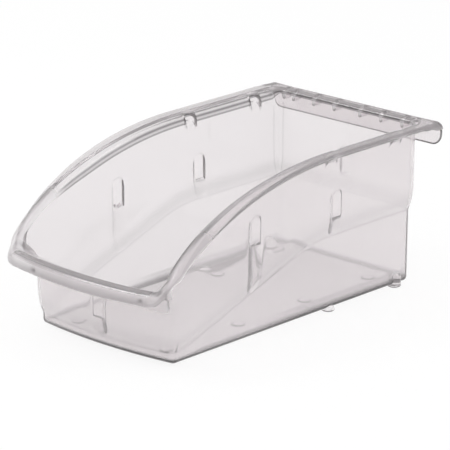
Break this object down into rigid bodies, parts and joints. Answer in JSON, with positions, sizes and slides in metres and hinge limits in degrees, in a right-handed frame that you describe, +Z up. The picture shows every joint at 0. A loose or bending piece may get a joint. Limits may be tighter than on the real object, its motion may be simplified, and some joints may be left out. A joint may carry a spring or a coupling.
{
  "type": "storage bin",
  "caption": "Clear open-front bin for small goods, with sides that sweep down to a low rolled front lip, a stepped wall that nests for stacking and a rear hook for hanging.",
  "frame": {"origin": "under the middle of the whole bin, on the plane of its feet", "axes": "+X to the right seen from the front, +Y towards the rear hook, +Z up"},
  "size_m": [0.105, 0.1846, 0.0777],
  "materials": {
    "clear_plastic": "clear gloss"
  },
  "bodies": {
    "root": {"base_floor": "clear_plastic", "front_wall": "clear_plastic", "back_wall": "clear_plastic", "left_wall": "clear_plastic", "right_wall": "clear_plastic", "front_lip": "clear_plastic", "left_rim": "clear_plastic", "right_rim": "clear_plastic", "hanger_flange": "clear_plastic", "hanger_skirt": "clear_plastic", "hanger_gussets": "clear_plastic", "left_divider_guides": "clear_plastic", "right_divider_guides": "clear_plastic", "front_divider_guide": "clear_plastic", "back_divider_guide": "clear_plastic", "left_feet": "clear_plastic", "right_feet": "clear_plastic", "floor_pads": "clear_plastic"}
  },
  "joints": []
}
